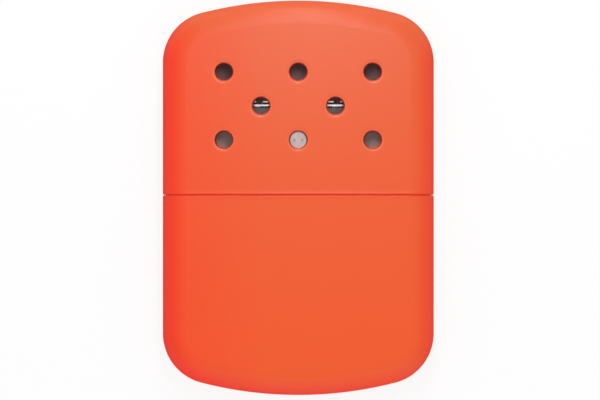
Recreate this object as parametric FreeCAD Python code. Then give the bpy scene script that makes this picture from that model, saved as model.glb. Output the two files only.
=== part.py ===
"""Pocket catalytic hand warmer, lying on its back.

The warmer is a flat, rounded metal case that parts across the middle.  The lower case is the fuel tank: it
is packed with absorbent wadding and closed by a pressed tank cap, whose upright collar takes the lid.  An
oval filler neck stands on the tank cap, and a burner slips over it.  Fuel vapour rises through the neck, a
wire gauze and a catalyst mat, and burns there without a flame.  The lid has eight vents for the air.

Frame: +X to the right, +Y towards the lid's end, +Z out of the front face.  The origin is the middle of the
back face, on which the warmer lies.  Lengths are in millimetres.
"""

import FreeCAD
import Part

import math
import os

Vector = FreeCAD.Vector
X_AXIS = Vector(1, 0, 0)
Y_AXIS = Vector(0, 1, 0)
Z_AXIS = Vector(0, 0, 1)

# --- Outer form -------------------------------------------------------------------------------------------
LENGTH = 99.0            # over both ends
WIDTH = 68.0             # over the straight sides
THICKNESS = 13.0         # front face to back face
CORNER_RADIUS = 12.8     # where a side turns into an end
END_RISE = 15.5          # how far the ends bulge past the straight sides
EDGE_RADIUS = 6.0        # rounding between a face and the sides
WALL = 0.5               # sheet of the lid and the lower case
SEAM_OFFSET = 0.7        # the seam lies this far above the middle of the length
SEAM_GAP = 0.06          # between the lid's rim and the case's mouth
RIM_RADIUS = 0.42        # of both outer edges at the seam, less than the sheet

# --- Vents in the lid -------------------------------------------------------------------------------------
VENT_DIAMETER = 4.05     # clear bore, at the foot of the turned-in edge
VENT_PITCH_X = 18.55     # between the vents of one row
VENT_PITCH_Y = 8.48      # between rows
VENT_RISE = 13.77        # lowest row above the seam
VENT_EDGE_RADIUS = 0.5   # from the front face into the vent
VENT_EDGE_STEPS = 4      # cones in that rounding
VENT_TAPER = 12.0        # degrees by which the turned-in edge widens towards the front
VENT_LIP = 0.45          # how far the turned-in edge stands inside the lid
VENT_LIP_SHEET = 0.4     # its thickness

# --- Tank cap ---------------------------------------------------------------------------------------------
CAP_SHEET = 0.4
CAP_RISE = 6.55          # collar above the seam
CAP_DEPTH = 7.0          # collar inside the lower case
CAP_EDGE_RADIUS = 1.2    # between the collar and the deck
CAP_INNER_BEVEL = 0.6    # under that edge
CAP_LID_GAP = 0.35       # collar to lid
JOGGLE_DROP = 0.4        # the collar's step lies this far below the seam
GRIP_PIP_RADIUS = 1.6    # foot of the pressed pips that hold the lid by friction
GRIP_PIP_TIP_RADIUS = 0.8
GRIP_PIP_PITCH = 40.0    # from the left pip to the right one
GRIP_PIP_RISE = 3.3      # above the seam
GRIP_PIP_GAP = 0.05      # pip to lid
SEAT_GAP = 0.02          # between pieces that are pressed or crimped together

# --- Filler neck ------------------------------------------------------------------------------------------
NECK_WIDTH = 22.0
NECK_INSET = 2.8         # from each face of the case to the neck
NECK_SHEET = 0.35
NECK_RISE = 5.0          # above the deck
NECK_FLANGE = 1.0        # width of the flange under the deck
NECK_BEVEL = 0.12        # on both edges of the neck's mouth

# --- Wadding ----------------------------------------------------------------------------------------------
WADDING_GAP = 0.25       # wadding to metal, and between layers
WADDING_LAYERS = ("cotton_pad_back", "cotton_pad_middle", "cotton_pad_front")
FELT_THICKNESS = 3.0

# --- Burner -----------------------------------------------------------------------------------------------
BURNER_SHEET = 0.35
SLIP_GAP = 0.06          # sleeve to neck
SLEEVE_SEAT_GAP = 0.1    # sleeve's mouth to deck
SLEEVE_LENGTH = 4.5      # deck to cage floor
SLEEVE_FLARE = 0.45      # outward flare of the sleeve's mouth
SLEEVE_FLARE_LENGTH = 0.9
SLEEVE_FLANGE = 0.35     # flange that holds the sleeve in the cage floor
CAGE_WIDTH = 31.0
CAGE_LID_GAP = 0.9       # cage to the lid's inner faces
CAGE_HEIGHT = 12.4
CAGE_FLOOR_BEVEL = 0.5
CAGE_INNER_BEVEL = 0.25
RAIL_HEIGHT = 0.3        # rail along the cage's top edge
RAIL_NOTCH_WIDTH = 1.7
RAIL_NOTCH_PITCH = 19.4  # from the left notch to the right one
RAIL_OVERCUT = 0.05      # how far a notch runs past the rail into the window
WINDOW_HEIGHT = 5.9
WINDOW_WIDTH = 9.2       # the middle window
WINDOW_BAR = 2.0         # bar between two windows
SIDE_WINDOW_WIDTH = 6.0
WINDOW_RADIUS = 0.7
STAKE_RISE = 2.6         # stake marks above the cage floor
STAKE_RADIUS = 0.45      # of the punch
STAKE_DEPTH = 0.25
STAKE_PAIR_PITCH = 9.6   # between pairs of marks
STAKE_PITCH = 2.0        # between the two marks of a pair
GAUZE_WIRE = 0.26
GAUZE_PITCH = 1.6
GAUZE_RIM = 0.3          # thickness of the strip that the gauze is held in
GAUZE_GAP = 0.1          # gauze to the cage's wall
MAT_GAP = 0.2            # mat to cage and to gauze
MAT_RIM_BEVEL = 0.45     # where the ring presses the mat's rim down
RING_HEIGHT = 0.3        # strip ring that keeps the mat down
RING_SHEET = 0.3
RING_GAP = 0.03          # ring to cage and to mat
RING_DROP = 1.01         # ring's middle below the cage's top edge
CROSS_WIRE = 0.4         # wires welded across the ring
CROSS_WIRE_PITCH = 5.6
CROSS_WIRE_NAMES = ("cross_wire_left", "cross_wire_middle", "cross_wire_right")

# --- Places that follow from the sizes --------------------------------------------------------------------
MIDDLE_Z = THICKNESS / 2
EDGE_ROUNDING = min(EDGE_RADIUS, MIDDLE_Z - WALL)
SEAM_Y = SEAM_OFFSET
LID_RIM_Y = SEAM_Y + SEAM_GAP / 2
CASE_MOUTH_Y = SEAM_Y - SEAM_GAP / 2
DECK_Y = SEAM_Y + CAP_RISE
COLLAR_INSET = WALL + CAP_LID_GAP
NECK_THICKNESS = THICKNESS - 2 * NECK_INSET
SLEEVE_INNER_WIDTH = NECK_WIDTH + 2 * SLIP_GAP
SLEEVE_INNER_THICKNESS = NECK_THICKNESS + 2 * SLIP_GAP
SLEEVE_WIDTH = SLEEVE_INNER_WIDTH + 2 * BURNER_SHEET
SLEEVE_THICKNESS = SLEEVE_INNER_THICKNESS + 2 * BURNER_SHEET
CAGE_THICKNESS = THICKNESS - 2 * (WALL + CAGE_LID_GAP)
CAGE_FLOOR_Y = DECK_Y + SLEEVE_LENGTH
CAGE_TOP_Y = CAGE_FLOOR_Y + CAGE_HEIGHT
CAGE_BORE_WIDTH = CAGE_WIDTH - 2 * BURNER_SHEET
CAGE_BORE_THICKNESS = CAGE_THICKNESS - 2 * BURNER_SHEET
STAKE_Y = CAGE_FLOOR_Y + STAKE_RISE
GAUZE_Y = STAKE_Y + STAKE_RADIUS + SEAT_GAP
GAUZE_TOP_Y = GAUZE_Y + 2 * GAUZE_WIRE
RING_Y = CAGE_TOP_Y - RING_DROP
RING_TOP_Y = RING_Y + RING_HEIGHT / 2
MAT_TOP_Y = RING_Y - RING_HEIGHT / 2 - RING_GAP
CUT_MARGIN = 1.0         # how far a cutting tool runs past what it cuts
SAME_PLACE = 1e-4        # lengths that differ by less count as equal
SAME_WAY = 0.999         # cosine over which two directions count as parallel


# --- Shapes that several pieces share ---------------------------------------------------------------------
def line(start, end):
    return Part.LineSegment(start, end).toShape()


def arc(start, middle, end):
    return Part.Arc(start, middle, end).toShape()


def mirrored(point):
    return Vector(-point.x, point.y, point.z)


def outline_end(inset, z, direction):
    """The three arcs of one end: corner, shallow end arc, corner.  direction is +1 for the lid's end."""
    half_width = WIDTH / 2 - inset
    half_length = LENGTH / 2 - inset
    corner = CORNER_RADIUS - inset
    rise = END_RISE - inset
    across = half_width - corner
    end_radius = (across**2 + rise**2 - corner**2) / (2 * (rise - corner))
    turn = math.atan2(end_radius - rise, across)

    def point(x, y):
        return Vector(x, direction * y, z)

    def on_corner(angle):
        return point(across + corner * math.cos(angle), half_length - rise + corner * math.sin(angle))

    start, middle, join = (on_corner(angle) for angle in (0, turn / 2, turn))
    apex = point(0, half_length)
    return [
        arc(start, middle, join),
        arc(join, apex, mirrored(join)),
        arc(mirrored(join), mirrored(middle), mirrored(start)),
    ]


def case_outline(inset, z):
    """The case's outline, shrunk by inset, in the plane at height z."""
    half_width = WIDTH / 2 - inset
    side_end = LENGTH / 2 - END_RISE
    right = line(Vector(half_width, -side_end, z), Vector(half_width, side_end, z))
    left = line(Vector(-half_width, side_end, z), Vector(-half_width, -side_end, z))
    edges = [right, left] + outline_end(inset, z, 1) + outline_end(inset, z, -1)
    return Part.Wire(Part.__sortEdges__(edges))


def case_block(inset):
    """The case's closed outer form, shrunk evenly by inset, as one solid with rounded edges."""
    face = Part.Face(case_outline(inset, inset))
    block = face.extrude(Vector(0, 0, THICKNESS - 2 * inset))
    flat_edges = [e for e in block.Edges if e.BoundBox.ZLength < SAME_PLACE]
    return block.makeFillet(EDGE_ROUNDING - inset, flat_edges)


def slab(y_low, y_high, z_low=-CUT_MARGIN, z_high=THICKNESS + CUT_MARGIN):
    """A block wider than the case, between two heights along Y and, if given, along Z."""
    width = WIDTH + 2 * CUT_MARGIN
    return Part.makeBox(width, y_high - y_low, z_high - z_low, Vector(-width / 2, y_low, z_low))


def parallel_edges(shape, axis):
    """The straight edges of shape that run along axis."""
    found = []
    for edge in shape.Edges:
        if isinstance(edge.Curve, Part.Line) and abs(edge.tangentAt(edge.FirstParameter).dot(axis)) > SAME_WAY:
            found.append(edge)
    return found


def edges_at(shape, y):
    """The edges of shape that lie in the plane at height y."""
    low, high = y - SAME_PLACE, y + SAME_PLACE
    return [e for e in shape.Edges if e.BoundBox.YMin > low and e.BoundBox.YMax < high]


def collar_block(inset, y_low, y_high):
    """A bar along Y with the case's own cross-section, shrunk by inset."""
    width, thickness = WIDTH - 2 * inset, THICKNESS - 2 * inset
    bar = Part.makeBox(width, y_high - y_low, thickness, Vector(-width / 2, y_low, inset))
    return bar.makeFillet(EDGE_ROUNDING - inset, parallel_edges(bar, Y_AXIS))


def stadium_wire(width, thickness, y):
    """A flat oval with round ends, in the plane at height y, about the middle of the case."""
    radius = thickness / 2
    reach = width / 2 - radius
    low, high = MIDDLE_Z - radius, MIDDLE_Z + radius
    return Part.Wire([
        line(Vector(-reach, y, low), Vector(reach, y, low)),
        arc(Vector(reach, y, low), Vector(reach + radius, y, MIDDLE_Z), Vector(reach, y, high)),
        line(Vector(reach, y, high), Vector(-reach, y, high)),
        arc(Vector(-reach, y, high), Vector(-reach - radius, y, MIDDLE_Z), Vector(-reach, y, low)),
    ])


def stadium_bar(width, thickness, y_low, y_high):
    """A bar along Y with a flat oval section."""
    return Part.Face(stadium_wire(width, thickness, y_low)).extrude(Vector(0, y_high - y_low, 0))


def stadium_tube(width, thickness, sheet, y_low, y_high):
    """A thin oval tube along Y; width and thickness are its outer sizes."""
    bore = stadium_bar(width - 2 * sheet, thickness - 2 * sheet, y_low - CUT_MARGIN, y_high + CUT_MARGIN)
    return stadium_bar(width, thickness, y_low, y_high).cut(bore)


def spread(pitch, count):
    """count places, pitch apart, about zero."""
    return [pitch * (i - (count - 1) / 2) for i in range(count)]


# --- Case -------------------------------------------------------------------------------------------------
def lower_case():
    """Deep-drawn shell, closed at its rounded end and open at the seam.  It is the wall of the fuel tank."""
    outer = case_block(0).common(slab(-LENGTH, CASE_MOUTH_Y))
    outer = outer.makeFillet(RIM_RADIUS, edges_at(outer, CASE_MOUTH_Y))
    return outer.cut(case_block(WALL))


def vent_centres():
    """Where the vents are drilled: rows of three, two and three."""
    centres = []
    for row, count in enumerate((3, 2, 3)):
        y = SEAM_Y + VENT_RISE + row * VENT_PITCH_Y
        centres += [Vector(x, y, 0) for x in spread(VENT_PITCH_X, count)]
    return centres


def vent_lip():
    """The turned-in edge of one vent before it is pierced: a short cone from inside the lid into its sheet."""
    height = VENT_LIP + WALL / 2
    foot_radius = VENT_DIAMETER / 2 + VENT_LIP_SHEET
    top_radius = foot_radius + height * math.tan(math.radians(VENT_TAPER))
    return Part.makeCone(foot_radius, top_radius, height, Vector(0, 0, THICKNESS - WALL - VENT_LIP), Z_AXIS)


def vent_punch():
    """What is open in one vent, revolved about its axis: a bore that widens upwards from the lip's foot and
    turns over into the front face in short cones, whose edges lie on a circle."""
    lean = math.radians(VENT_TAPER)
    turn = math.pi / 2 - lean
    bore, foot_z = VENT_DIAMETER / 2, THICKNESS - WALL - VENT_LIP
    round_z = THICKNESS - VENT_EDGE_RADIUS
    join = bore + (round_z + VENT_EDGE_RADIUS * math.cos(turn) - foot_z) * math.tan(lean)
    mouth = join + VENT_EDGE_RADIUS * math.sin(turn)
    low, high = foot_z - CUT_MARGIN, THICKNESS + CUT_MARGIN
    outline = [Vector(0, 0, low), Vector(bore, 0, low), Vector(bore, 0, foot_z)]
    for step in range(VENT_EDGE_STEPS + 1):
        angle = turn * (1 - step / VENT_EDGE_STEPS)
        outline.append(Vector(mouth - VENT_EDGE_RADIUS * math.sin(angle), 0,
                              round_z + VENT_EDGE_RADIUS * math.cos(angle)))
    outline += [Vector(mouth, 0, high), Vector(0, 0, high), outline[0]]
    return Part.Face(Part.makePolygon(outline)).revolve(Vector(0, 0, 0), Z_AXIS, 360)


def lid_shell():
    """Deep-drawn lid, open at the seam, with vents in its front face whose edges are turned inwards."""
    outer = case_block(0).common(slab(LID_RIM_Y, LENGTH))
    outer = outer.makeFillet(RIM_RADIUS, edges_at(outer, LID_RIM_Y))
    lid = outer.cut(case_block(WALL))
    lip, punch = vent_lip(), vent_punch()
    lips = [lip.translated(centre) for centre in vent_centres()]
    punches = [punch.translated(centre) for centre in vent_centres()]
    return lid.fuse(lips).cut(punches).removeSplitter()


# --- Tank cap and neck ------------------------------------------------------------------------------------
def grip_pips(collar):
    """Adds the four pressed pips to the collar: a low cone outside, and its hollow inside."""
    height = CAP_LID_GAP - GRIP_PIP_GAP
    for x in spread(GRIP_PIP_PITCH, 2):
        for side in (-1, 1):
            outwards = Z_AXIS * side
            face = Vector(x, SEAM_Y + GRIP_PIP_RISE, MIDDLE_Z) + outwards * (MIDDLE_Z - COLLAR_INSET)
            hollow_foot = face - outwards * CAP_SHEET
            collar = collar.fuse(Part.makeCone(GRIP_PIP_RADIUS, GRIP_PIP_TIP_RADIUS, height, face, outwards))
            collar = collar.cut(Part.makeCone(GRIP_PIP_RADIUS, GRIP_PIP_TIP_RADIUS, height, hollow_foot, outwards))
    return collar


def tank_cap():
    """Pressed cover of the tank: a collar crimped into the case's mouth, stepped in to take the lid, and a
    deck with an oval hole for the neck."""
    step_y = SEAM_Y - JOGGLE_DROP
    foot_y = SEAM_Y - CAP_DEPTH
    seat_inset = WALL + SEAT_GAP
    upper = collar_block(COLLAR_INSET, step_y - CAP_SHEET, DECK_Y)
    upper = upper.makeFillet(CAP_EDGE_RADIUS, edges_at(upper, DECK_Y))
    upper_bore = collar_block(COLLAR_INSET + CAP_SHEET, foot_y - CUT_MARGIN, DECK_Y - CAP_SHEET)
    upper_bore = upper_bore.makeChamfer(CAP_INNER_BEVEL, edges_at(upper_bore, DECK_Y - CAP_SHEET))
    lower = collar_block(seat_inset, foot_y, step_y)
    lower_bore = collar_block(seat_inset + CAP_SHEET, foot_y - CUT_MARGIN, step_y - CAP_SHEET)
    neck_hole = stadium_bar(NECK_WIDTH + 2 * SEAT_GAP, NECK_THICKNESS + 2 * SEAT_GAP, SEAM_Y, DECK_Y + CUT_MARGIN)
    collar = upper.fuse(lower).cut([upper_bore, lower_bore, neck_hole])
    return grip_pips(collar).removeSplitter()


def filler_neck():
    """Oval tube through the deck, with a flange that is crimped against the deck's underside."""
    flange_top = DECK_Y - CAP_SHEET - SEAT_GAP
    flange_y = flange_top - NECK_SHEET
    tube = stadium_bar(NECK_WIDTH, NECK_THICKNESS, flange_y, DECK_Y + NECK_RISE)
    flange_width, flange_thickness = NECK_WIDTH + 2 * NECK_FLANGE, NECK_THICKNESS + 2 * NECK_FLANGE
    flange = stadium_bar(flange_width, flange_thickness, flange_y, flange_top)
    bore_width, bore_thickness = NECK_WIDTH - 2 * NECK_SHEET, NECK_THICKNESS - 2 * NECK_SHEET
    bore = stadium_bar(bore_width, bore_thickness, flange_y - CUT_MARGIN, DECK_Y + NECK_RISE + CUT_MARGIN)
    neck = tube.fuse(flange).cut(bore).removeSplitter()
    return neck.makeChamfer(NECK_BEVEL, edges_at(neck, DECK_Y + NECK_RISE))


# --- Wadding ----------------------------------------------------------------------------------------------
def filling_inset(z):
    """How far in from the case's outline the filling ends at height z, inside the rounded edges."""
    radius = EDGE_ROUNDING - WALL - WADDING_GAP
    depth = max(0.0, min(z, THICKNESS - z) - WALL - WADDING_GAP)
    reach = radius - min(depth, radius)
    return WALL + WADDING_GAP + radius - math.sqrt(radius**2 - reach**2)


def wadding():
    """Absorbent filling of the tank: three layers in the case, one in the collar and a felt pad on top."""
    collar_foot = SEAM_Y - CAP_DEPTH
    low, high = WALL + WADDING_GAP, THICKNESS - WALL - WADDING_GAP
    count = len(WADDING_LAYERS)
    layer = (high - low - (count - 1) * WADDING_GAP) / count
    below_collar = slab(-LENGTH, collar_foot - WADDING_GAP)
    pieces = {}
    for i, name in enumerate(WADDING_LAYERS):
        foot = low + i * (layer + WADDING_GAP)
        rims = [case_outline(filling_inset(z), z) for z in (foot, foot + layer)]
        pieces[name] = Part.makeLoft(rims, True, True).common(below_collar)
    inset = COLLAR_INSET + CAP_SHEET + WADDING_GAP
    felt_top = DECK_Y - CAP_SHEET - SEAT_GAP - NECK_SHEET - WADDING_GAP / 2
    felt_foot = felt_top - FELT_THICKNESS
    pieces["cotton_pad_top"] = collar_block(inset, collar_foot, felt_foot - WADDING_GAP)
    pieces["felt_pad"] = collar_block(inset, felt_foot, felt_top)
    return pieces


# --- Burner -----------------------------------------------------------------------------------------------
def burner_sleeve():
    """Oval sleeve that slips over the neck, flared at its mouth and flanged over the cage's floor."""
    mouth_y = DECK_Y + SLEEVE_SEAT_GAP
    flare_y = mouth_y + SLEEVE_FLARE_LENGTH
    flange_y = CAGE_FLOOR_Y + BURNER_SHEET + SEAT_GAP
    top_y = flange_y + BURNER_SHEET
    body = stadium_tube(SLEEVE_WIDTH, SLEEVE_THICKNESS, BURNER_SHEET, flare_y, top_y)

    def flare(width, thickness):
        mouth = stadium_wire(width + 2 * SLEEVE_FLARE, thickness + 2 * SLEEVE_FLARE, mouth_y)
        return Part.makeLoft([mouth, stadium_wire(width, thickness, flare_y)], True, True)

    skirt = flare(SLEEVE_WIDTH, SLEEVE_THICKNESS).cut(flare(SLEEVE_INNER_WIDTH, SLEEVE_INNER_THICKNESS))
    flange_width = SLEEVE_WIDTH + 2 * SLEEVE_FLANGE
    flange_sheet = BURNER_SHEET + SLEEVE_FLANGE
    flange = stadium_tube(flange_width, SLEEVE_THICKNESS + 2 * SLEEVE_FLANGE, flange_sheet, flange_y, top_y)
    return body.fuse([skirt, flange]).removeSplitter()


def window_cutter(x, width):
    """A rounded window through the front and back of the cage, under its rail."""
    top = CAGE_TOP_Y - RAIL_HEIGHT
    corner = Vector(x - width / 2, top - WINDOW_HEIGHT, -CUT_MARGIN)
    block = Part.makeBox(width, WINDOW_HEIGHT, THICKNESS + 2 * CUT_MARGIN, corner)
    return block.makeFillet(WINDOW_RADIUS, parallel_edges(block, Z_AXIS))


def stake_marks():
    """Where the punch struck the cage, in pairs on the front and the back, as (point, inward direction)."""
    marks = []
    for side in (-1, 1):
        z = MIDDLE_Z + side * CAGE_THICKNESS / 2
        for pair_x in spread(STAKE_PAIR_PITCH, 3):
            marks += [(Vector(pair_x + x, STAKE_Y, z), Z_AXIS * -side) for x in spread(STAKE_PITCH, 2)]
    return marks


def burner_cage():
    """Drawn oval cup that holds the catalyst mat: a floor with a hole for the sleeve, windows in front and
    back, a notched rail along the top, and punch marks whose inner bumps carry the gauze."""
    outer = stadium_bar(CAGE_WIDTH, CAGE_THICKNESS, CAGE_FLOOR_Y, CAGE_TOP_Y)
    outer = outer.makeChamfer(CAGE_FLOOR_BEVEL, edges_at(outer, CAGE_FLOOR_Y))
    floor_top = CAGE_FLOOR_Y + BURNER_SHEET
    bore = stadium_bar(CAGE_BORE_WIDTH, CAGE_BORE_THICKNESS, floor_top, CAGE_TOP_Y + CUT_MARGIN)
    bore = bore.makeChamfer(CAGE_INNER_BEVEL, edges_at(bore, floor_top))
    hole = stadium_bar(SLEEVE_WIDTH + 2 * SEAT_GAP, SLEEVE_THICKNESS + 2 * SEAT_GAP,
                       CAGE_FLOOR_Y - CUT_MARGIN, floor_top + CUT_MARGIN)
    side_x = WINDOW_WIDTH / 2 + WINDOW_BAR + SIDE_WINDOW_WIDTH / 2
    windows = [window_cutter(0, WINDOW_WIDTH)]
    windows += [window_cutter(x, SIDE_WINDOW_WIDTH) for x in (-side_x, side_x)]
    notch_foot = CAGE_TOP_Y - RAIL_HEIGHT - RAIL_OVERCUT
    notches = [Part.makeBox(RAIL_NOTCH_WIDTH, RAIL_HEIGHT + CUT_MARGIN, THICKNESS,
                            Vector(x - RAIL_NOTCH_WIDTH / 2, notch_foot, 0))
               for x in spread(RAIL_NOTCH_PITCH, 2)]
    cage = outer.cut([bore, hole] + windows + notches)
    for point, inwards in stake_marks():
        bump_foot = point + inwards * BURNER_SHEET
        cage = cage.fuse(Part.makeCylinder(STAKE_RADIUS, STAKE_DEPTH, bump_foot, inwards))
        cage = cage.cut(Part.makeCylinder(STAKE_RADIUS, STAKE_DEPTH, point, inwards))
    return cage.removeSplitter()


def support_gauze():
    """Gauze under the mat: wires along X, and wires along Z lying on them, held in an oval strip."""
    width = CAGE_BORE_WIDTH - 2 * GAUZE_GAP
    thickness = CAGE_BORE_THICKNESS - 2 * GAUZE_GAP
    height = GAUZE_TOP_Y - GAUZE_Y
    rim = stadium_tube(width, thickness, GAUZE_RIM, GAUZE_Y, GAUZE_TOP_Y)
    inside = stadium_bar(width - GAUZE_RIM, thickness - GAUZE_RIM, GAUZE_Y, GAUZE_TOP_Y)
    wires = []
    for z in spread(GAUZE_PITCH, int((thickness - 2 * GAUZE_RIM) / GAUZE_PITCH)):
        corner = Vector(-width / 2, GAUZE_Y, MIDDLE_Z + z - GAUZE_WIRE / 2)
        wires.append(Part.makeBox(width, height / 2, GAUZE_WIRE, corner))
    for x in spread(GAUZE_PITCH, int((width - thickness / 2) / GAUZE_PITCH)):
        corner = Vector(x - GAUZE_WIRE / 2, GAUZE_Y + height / 2, MIDDLE_Z - thickness / 2)
        wires.append(Part.makeBox(GAUZE_WIRE, height / 2, thickness, corner))
    mesh = wires[0].fuse(wires[1:]).common(inside)
    return rim.fuse(mesh).removeSplitter()


def catalyst_mat():
    """The pad of coated glass fibre, between the gauze and the ring, which presses its rim down."""
    width = CAGE_BORE_WIDTH - 2 * MAT_GAP
    thickness = CAGE_BORE_THICKNESS - 2 * MAT_GAP
    mat = stadium_bar(width, thickness, GAUZE_TOP_Y + MAT_GAP, MAT_TOP_Y)
    return mat.makeChamfer(MAT_RIM_BEVEL, edges_at(mat, MAT_TOP_Y))


def mat_ring():
    """Oval strip ring, sprung against the cage's wall on top of the mat."""
    width = CAGE_BORE_WIDTH - 2 * RING_GAP
    thickness = CAGE_BORE_THICKNESS - 2 * RING_GAP
    return stadium_tube(width, thickness, RING_SHEET, RING_TOP_Y - RING_HEIGHT, RING_TOP_Y)


def cross_wires():
    """Three straight wires that lie across the ring from front to back."""
    length = CAGE_BORE_THICKNESS - 2 * RING_GAP
    y = RING_TOP_Y + CROSS_WIRE / 2
    foot_z = MIDDLE_Z - length / 2
    places = zip(CROSS_WIRE_NAMES, spread(CROSS_WIRE_PITCH, len(CROSS_WIRE_NAMES)))
    return {name: Part.makeCylinder(CROSS_WIRE / 2, length, Vector(x, y, foot_z), Z_AXIS) for name, x in places}


def main():
    pieces = {
        "lower_case": lower_case(),
        "lid_shell": lid_shell(),
        "tank_cap": tank_cap(),
        "filler_neck": filler_neck(),
        "burner_sleeve": burner_sleeve(),
        "burner_cage": burner_cage(),
        "support_gauze": support_gauze(),
        "catalyst_mat": catalyst_mat(),
        "mat_ring": mat_ring(),
    }
    pieces.update(cross_wires())
    pieces.update(wadding())
    os.makedirs("parts", exist_ok=True)
    for name, shape in pieces.items():
        solids = shape.Solids
        volume = sum(s.Volume for s in solids)
        print(f"{name}: {len(solids)} solids, {volume:.1f} mm3, valid {shape.isValid()}")
        shape.exportStep(os.path.join("parts", name + ".step"))


main()
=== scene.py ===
"""Looks of a pocket catalytic hand warmer.

The file is laid out as an add-on: property groups hold the sizes and colours that a user would change, one
operator dresses each group of pieces, and one sets the stage.  Lengths are in metres, in the part's own
frame: +X to the right, +Y towards the vented lid's end, +Z out of the front face.
"""
import math

import bpy
import numpy as np
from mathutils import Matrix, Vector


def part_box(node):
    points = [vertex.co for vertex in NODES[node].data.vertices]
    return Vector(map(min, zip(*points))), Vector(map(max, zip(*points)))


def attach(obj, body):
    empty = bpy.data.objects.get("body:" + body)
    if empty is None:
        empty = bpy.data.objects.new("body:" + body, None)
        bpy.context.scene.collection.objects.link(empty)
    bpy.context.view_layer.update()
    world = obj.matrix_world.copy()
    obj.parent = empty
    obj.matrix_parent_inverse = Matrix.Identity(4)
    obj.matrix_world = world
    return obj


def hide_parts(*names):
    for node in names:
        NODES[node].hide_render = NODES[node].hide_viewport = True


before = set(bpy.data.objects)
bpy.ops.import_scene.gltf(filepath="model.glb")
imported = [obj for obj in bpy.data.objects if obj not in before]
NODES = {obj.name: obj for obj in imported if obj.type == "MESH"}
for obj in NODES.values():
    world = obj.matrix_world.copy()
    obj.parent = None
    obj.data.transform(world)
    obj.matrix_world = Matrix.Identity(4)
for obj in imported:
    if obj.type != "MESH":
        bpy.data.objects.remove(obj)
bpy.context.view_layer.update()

bl_info = {
    "name": "Catalytic hand warmer",
    "version": (1, 0, 0),
    "blender": (4, 5, 0),
    "location": "3D View > Sidebar > Hand Warmer",
    "description": "Dresses the packed hand warmer and sets its stage",
    "category": "Object",
}

LID_LOW, LID_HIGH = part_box("lid_shell")
CASE_LOW, CASE_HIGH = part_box("lower_case")
CAGE_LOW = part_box("burner_cage")[0]
GAUZE_LOW, GAUZE_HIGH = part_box("support_gauze")
MAT_LOW, MAT_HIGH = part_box("catalyst_mat")
MIDDLE_Z = (LID_LOW.z + LID_HIGH.z) / 2
SEAM_Y = (LID_LOW.y + CASE_HIGH.y) / 2

MM = 0.001
WADDING = ("cotton_pad_back", "cotton_pad_middle", "cotton_pad_front", "cotton_pad_top")

# Vents in the lid's front face
VENT_PITCH_X = 18.55 * MM
VENT_PITCH_Y = 8.48 * MM
VENT_MIDDLE_Y = SEAM_Y + 22.25 * MM
VENT_MOUTH = 2.62 * MM           # radius at which the face turns into a vent
VENT_MARGIN = 0.1 * MM           # round it, over which what belongs to the vent ends
VENT_WALL_REACH = 0.97 * MM      # from the face to just past the foot of the turned-in edge
VENT_REACH = 1.1 * MM            # from the face to where nothing of a vent is left

# Punch marks in the cage's front and back
STAKE_Y = CAGE_LOW.y + 2.6 * MM
STAKE_PAIR_PITCH = 9.6 * MM      # between pairs
STAKE_PITCH = 2.0 * MM           # between the two marks of a pair
STAKE_RADIUS = 0.32 * MM


# --- Shader expressions -----------------------------------------------------------------------------------
class Signal:
    """An output socket of a shader node.  Arithmetic on it adds Math nodes and gives another signal."""

    def __init__(self, finish, socket):
        self.finish = finish
        self.socket = socket

    def math(self, operation, first, second=0.0):
        return self.finish.add("ShaderNodeMath", {"operation": operation}, {0: first, 1: second})

    def __add__(self, other):
        return self.math("ADD", self, other)

    __radd__ = __add__

    def __sub__(self, other):
        return self.math("SUBTRACT", self, other)

    def __rsub__(self, other):
        return self.math("SUBTRACT", other, self)

    def __mul__(self, other):
        return self.math("MULTIPLY", self, other)

    __rmul__ = __mul__

    def __truediv__(self, other):
        return self.math("DIVIDE", self, other)

    def __rtruediv__(self, other):
        return self.math("DIVIDE", other, self)

    def __pow__(self, power):
        return self.math("POWER", self, power)

    def __abs__(self):
        return self.math("ABSOLUTE", self)

    def larger(self, other):
        """The larger of the two."""
        return self.math("MAXIMUM", self, other)

    def smaller(self, other):
        """The smaller of the two."""
        return self.math("MINIMUM", self, other)

    def positive(self):
        """Itself above 0, and 0 below it."""
        return self.larger(0.0)

    def clipped(self):
        """Itself between 0 and 1, and the nearer of them elsewhere."""
        return self.positive().smaller(1.0)

    def above(self, level, softness):
        """0 below level, 1 above it, and a straight ramp softness wide between them."""
        return ((self - (level - softness / 2)) / softness).clipped()

    def below(self, level, softness):
        """1 below level, 0 above it, and a straight ramp softness wide between them."""
        return 1 - self.above(level, softness)


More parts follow.
